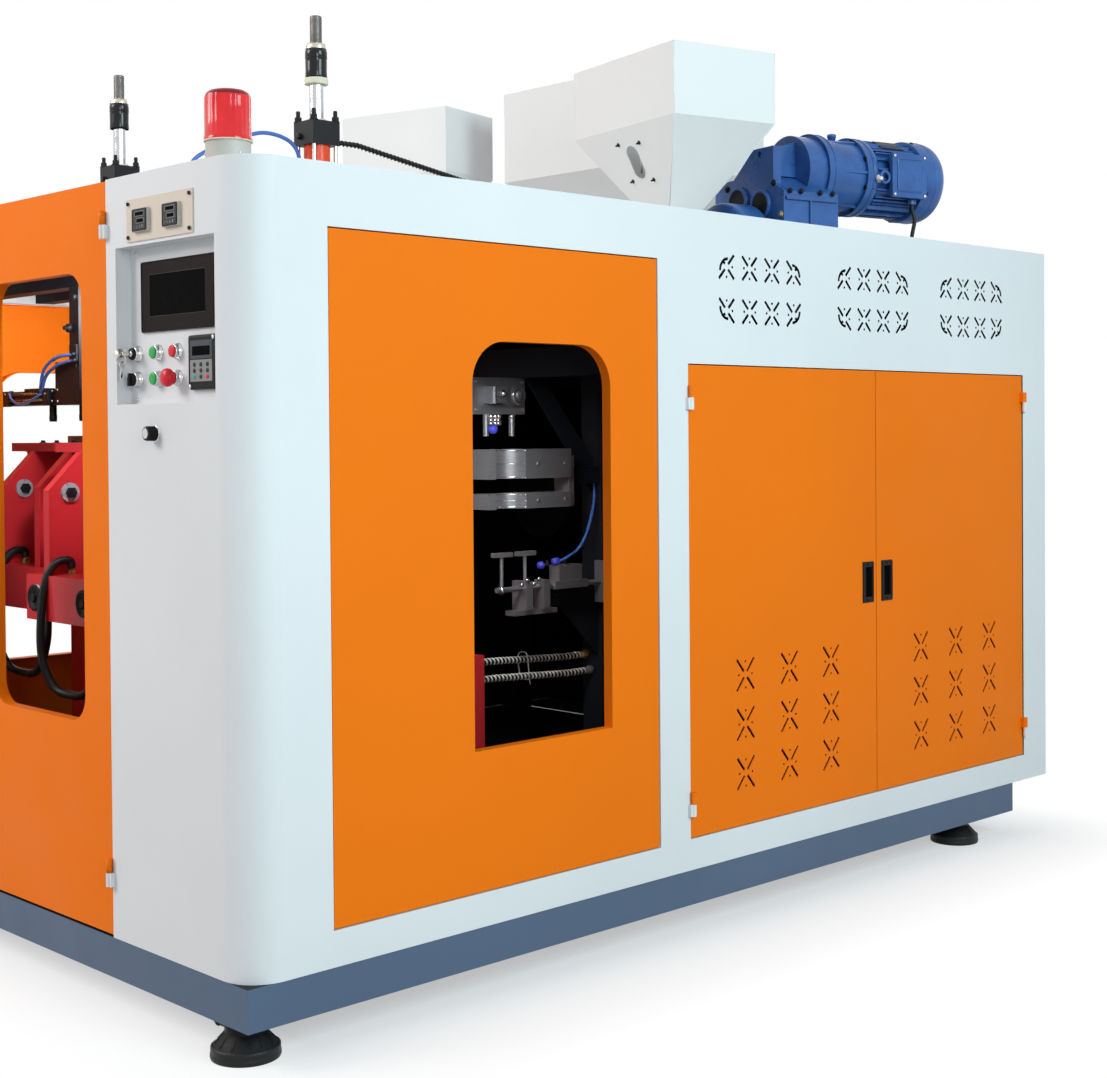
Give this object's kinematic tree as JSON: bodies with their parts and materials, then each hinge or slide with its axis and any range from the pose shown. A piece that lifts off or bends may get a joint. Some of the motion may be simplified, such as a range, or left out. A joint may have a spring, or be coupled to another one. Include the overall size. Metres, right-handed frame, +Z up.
{
  "type": "blow moulding machine",
  "caption": "Extrusion blow moulding machine: orange doors in a white shell, moulds on shuttle carriages, hoppers and gear motors on the roof, a red beacon.",
  "frame": {"origin": "on the floor, under the middle of the white shell", "axes": "+X towards the rear of the machine, +Y to the left as the operator faces it from the front, +Z up"},
  "size_m": [3.124, 2.395, 2.469],
  "materials": {
    "white_paint": "satin",
    "orange_paint": "satin",
    "base_paint": "satin",
    "frame_paint": "matte",
    "red_paint": "satin",
    "hopper_paint": "satin",
    "motor_paint": "gloss",
    "cream_paint": "satin",
    "cast_steel": "matte",
    "mould_steel": "satin",
    "tool_steel": "satin",
    "chrome": "polished",
    "barrel_red": "gloss",
    "black_metal": "satin",
    "black_plastic": "matte",
    "grey_plastic": "matte",
    "beacon_red": "gloss",
    "button_green": "gloss",
    "button_red": "gloss",
    "blue_hose": "gloss",
    "black_rubber": "matte",
    "hose_steel": "satin"
  },
  "bodies": {
    "machine": {"base_frame": "base_paint", "levelling_feet": "cast_steel", "inner_frame": "frame_paint", "right_shell": "white_paint", "left_shell": "white_paint", "roof_panel": "white_paint", "rear_panel": "white_paint", "side_guard_right": "orange_paint", "side_guard_left": "orange_paint", "hinge_frame_halves": "white_paint", "control_panel": "white_paint", "button_collars": "chrome", "operator_screen": "black_plastic", "inverter_keypad": "black_plastic", "controller_plate": "cream_paint", "temperature_controllers": "black_plastic", "beacon_base": "grey_plastic", "beacon_dome": "beacon_red", "cylinder_ends": "black_metal", "cylinder_barrels": "barrel_red", "pin_guides": "black_metal", "shuttle_bed": "red_paint", "shuttle_rails": "tool_steel", "die_head": "tool_steel", "extruder_barrels": "base_paint", "hopper_right": "hopper_paint", "hopper_left": "hopper_paint", "hopper_main": "hopper_paint", "gearboxes": "motor_paint", "gear_motors": "motor_paint", "trim_frame": "frame_paint", "trim_tooling": "tool_steel", "air_hose": "blue_hose", "black_hoses": "black_rubber", "armoured_hoses": "hose_steel"},
    "front_door_right": {"front_door_right": "orange_paint"},
    "front_door_left": {"front_door_left": "orange_paint"},
    "cabinet_door_front": {"cabinet_door_front": "orange_paint", "handle_front": "black_plastic"},
    "cabinet_door_rear": {"cabinet_door_rear": "orange_paint", "handle_rear": "black_plastic"},
    "key": {"key_switch": "black_plastic"},
    "selector": {"selector_switch": "black_plastic"},
    "knob": {"speed_knob": "black_plastic"},
    "green_upper": {"green_button_upper": "button_green"},
    "green_lower": {"green_button_lower": "button_green"},
    "red": {"red_button": "button_red"},
    "stop": {"emergency_stop": "button_red"},
    "rod_right": {"blow_rod_right": "chrome"},
    "rod_left": {"blow_rod_left": "chrome"},
    "carriage_right": {"carriage_right": "red_paint"},
    "carriage_left": {"carriage_left": "red_paint"},
    "clamp_front_right": {"platen_front_right": "red_paint", "mould_front_right": "mould_steel"},
    "clamp_rear_right": {"platen_rear_right": "red_paint", "mould_rear_right": "mould_steel"},
    "clamp_front_left": {"platen_front_left": "red_paint", "mould_front_left": "mould_steel"},
    "clamp_rear_left": {"platen_rear_left": "red_paint", "mould_rear_left": "mould_steel"}
  },
  "joints": [
    {"name": "front_door_right_hinge", "type": "hinge", "parent": "machine", "child": "front_door_right", "pos_m": [-1.558, -0.652, 0.169], "axis": [0, 0, 1], "range_deg": [0, 110]},
    {"name": "front_door_left_hinge", "type": "hinge", "parent": "machine", "child": "front_door_left", "pos_m": [-1.558, 0.652, 0.169], "axis": [0, 0, -1], "range_deg": [0, 110]},
    {"name": "cabinet_door_front_hinge", "type": "hinge", "parent": "machine", "child": "cabinet_door_front", "pos_m": [-0.197, -1.198, 0.169], "axis": [0, 0, -1], "range_deg": [0, 110]},
    {"name": "cabinet_door_rear_hinge", "type": "hinge", "parent": "machine", "child": "cabinet_door_rear", "pos_m": [1.412, -1.198, 0.169], "axis": [0, 0, 1], "range_deg": [0, 110]},
    {"name": "key_turn", "type": "hinge", "parent": "machine", "child": "key", "pos_m": [-1.512, -0.725, 1.478], "axis": [-1, 0, 0], "range_deg": [0, 90]},
    {"name": "selector_turn", "type": "hinge", "parent": "machine", "child": "selector", "pos_m": [-1.512, -0.725, 1.421], "axis": [-1, 0, 0], "range_deg": [-45, 45]},
    {"name": "speed_knob_turn", "type": "hinge", "parent": "machine", "child": "knob", "pos_m": [-1.55, -0.853, 1.301], "axis": [-1, 0, 0], "range_deg": [-140, 140]},
    {"name": "green_upper_press", "type": "slide", "parent": "machine", "child": "green_upper", "axis": [1, 0, 0], "range_m": [0, 0.003], "stiffness_N_per_m": 1000},
    {"name": "green_lower_press", "type": "slide", "parent": "machine", "child": "green_lower", "axis": [1, 0, 0], "range_m": [0, 0.003], "stiffness_N_per_m": 1000},
    {"name": "red_press", "type": "slide", "parent": "machine", "child": "red", "axis": [1, 0, 0], "range_m": [0, 0.003], "stiffness_N_per_m": 1000},
    {"name": "stop_press", "type": "slide", "parent": "machine", "child": "stop", "axis": [1, 0, 0], "range_m": [0, 0.005], "stiffness_N_per_m": 2000},
    {"name": "blow_rod_right_stroke", "type": "slide", "parent": "machine", "child": "rod_right", "axis": [0, 0, 1], "range_m": [-0.09, 0]},
    {"name": "blow_rod_left_stroke", "type": "slide", "parent": "machine", "child": "rod_left", "axis": [0, 0, 1], "range_m": [-0.09, 0]},
    {"name": "shuttle_right", "type": "slide", "parent": "machine", "child": "carriage_right", "axis": [0, 1, 0], "range_m": [-0.495, 0]},
    {"name": "shuttle_left", "type": "slide", "parent": "machine", "child": "carriage_left", "axis": [0, 1, 0], "range_m": [-0.495, 0]},
    {"name": "clamp_right_front", "type": "slide", "parent": "carriage_right", "child": "clamp_front_right", "axis": [1, 0, 0], "range_m": [0, 0.12]},
    {"name": "clamp_right_rear", "type": "slide", "parent": "carriage_right", "child": "clamp_rear_right", "axis": [1, 0, 0], "range_m": [-0.12, 0]},
    {"name": "clamp_left_front", "type": "slide", "parent": "carriage_left", "child": "clamp_front_left", "axis": [1, 0, 0], "range_m": [-0.12, 0]},
    {"name": "clamp_left_rear", "type": "slide", "parent": "carriage_left", "child": "clamp_rear_left", "axis": [1, 0, 0], "range_m": [0, 0.12]}
  ],
  "couplings": [
    {"joint": "shuttle_left", "follows": "shuttle_right", "ratio": 1},
    {"joint": "clamp_right_rear", "follows": "clamp_right_front", "ratio": -1},
    {"joint": "clamp_left_rear", "follows": "clamp_left_front", "ratio": -1}
  ]
}
